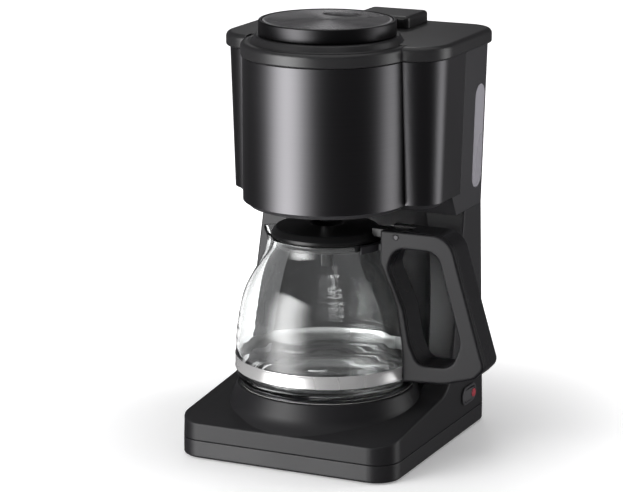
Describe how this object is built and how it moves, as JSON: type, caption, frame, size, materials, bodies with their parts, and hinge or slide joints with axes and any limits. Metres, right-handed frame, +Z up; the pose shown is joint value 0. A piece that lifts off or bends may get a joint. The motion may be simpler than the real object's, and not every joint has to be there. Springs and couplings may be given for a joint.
{
  "type": "drip coffee maker",
  "caption": "Drip coffee maker with a rectangular base, a rear water column, a round brew head under a hinged lid and a lidded glass carafe with a side handle.",
  "frame": {"origin": "middle of the base, on the plane that the feet stand on", "axes": "+Z up, +Y towards the back of the machine, +X towards its right side as seen from the front"},
  "size_m": [0.2101, 0.189, 0.306],
  "materials": {
    "base_plastic": "fine moulded texture, satin",
    "body_plastic": "fine moulded texture, satin",
    "lid_plastic": "fine moulded texture, satin",
    "cap_plastic": "semi-gloss",
    "handle_plastic": "satin",
    "switch_plastic": "semi-gloss",
    "basket_plastic": "satin",
    "soft_black": "matte",
    "foot_rubber": "matte",
    "silicone": "translucent, matte",
    "clear_plastic": "translucent, satin",
    "window_plastic": "frosted, translucent",
    "red_plastic": "gloss",
    "dark_metal": "dark, vertical highlights, clear coated",
    "cap_metal": "concentric grooves",
    "stainless_steel": "polished",
    "zinc_steel": "zinc plated",
    "heater_aluminium": "cast",
    "thermostat_body": "gloss",
    "hotplate_coating": "non-stick coating, satin",
    "filter_mesh": "fine woven mesh in a frame",
    "carafe_glass": "clear, polished"
  },
  "bodies": {
    "machine": {"base_pan": "base_plastic", "rubber_feet": "foot_rubber", "pan_screws": "zinc_steel", "base_housing": "body_plastic", "column_housing": "body_plastic", "cord_gland": "soft_black", "switch_bezel": "switch_plastic", "hotplate": "hotplate_coating", "hotplate_seal": "silicone", "heating_element": "heater_aluminium", "heater_bracket": "zinc_steel", "thermostat": "thermostat_body", "thermal_fuses": "thermostat_body", "cold_hose": "silicone", "hot_hose": "silicone", "riser_tube": "clear_plastic", "check_valve": "clear_plastic", "water_tank": "clear_plastic", "head_housing": "body_plastic", "metal_skin": "dark_metal", "water_window": "window_plastic", "head_screws": "zinc_steel", "inner_deck": "body_plastic", "brew_basket": "basket_plastic", "mesh_filter": "filter_mesh", "hinge_pin": "stainless_steel"},
    "lid": {"lid_panel": "lid_plastic", "lid_cap": "cap_plastic", "cap_plate": "cap_metal", "rear_cover": "lid_plastic", "spray_channel": "clear_plastic"},
    "drip_stop": {"drip_valve": "basket_plastic", "valve_seal": "silicone", "valve_spring": "stainless_steel"},
    "switch": {"switch_rocker": "switch_plastic", "switch_marker": "red_plastic"},
    "carafe": {"carafe_glass": "carafe_glass", "steel_band": "stainless_steel", "band_screw": "stainless_steel", "rim_collar": "handle_plastic", "carafe_handle": "handle_plastic", "handle_plate": "handle_plastic", "carafe_lid": "basket_plastic", "carafe_lid_pin": "cap_plastic", "drip_tube": "basket_plastic"}
  },
  "joints": [
    {"name": "lid_hinge", "type": "hinge", "parent": "machine", "child": "lid", "pos_m": [0, 0.0935, 0.2878], "axis": [-1, 0, 0], "range_deg": [0, 95]},
    {"name": "carafe_slide", "type": "slide", "parent": "machine", "child": "carafe", "axis": [0, -1, 0], "range_m": [0, 0.2]},
    {"name": "drip_stop_lift", "type": "slide", "parent": "machine", "child": "drip_stop", "axis": [0, 0, 1], "range_m": [0, 0.004], "stiffness_N_per_m": 150, "springref_m": -0.004, "deforming": ["valve_spring"]},
    {"name": "switch_rock", "type": "hinge", "parent": "machine", "child": "switch", "pos_m": [0.0775, 0.05, 0.028], "axis": [0, 0, 1], "range_deg": [0, 10]}
  ]
}
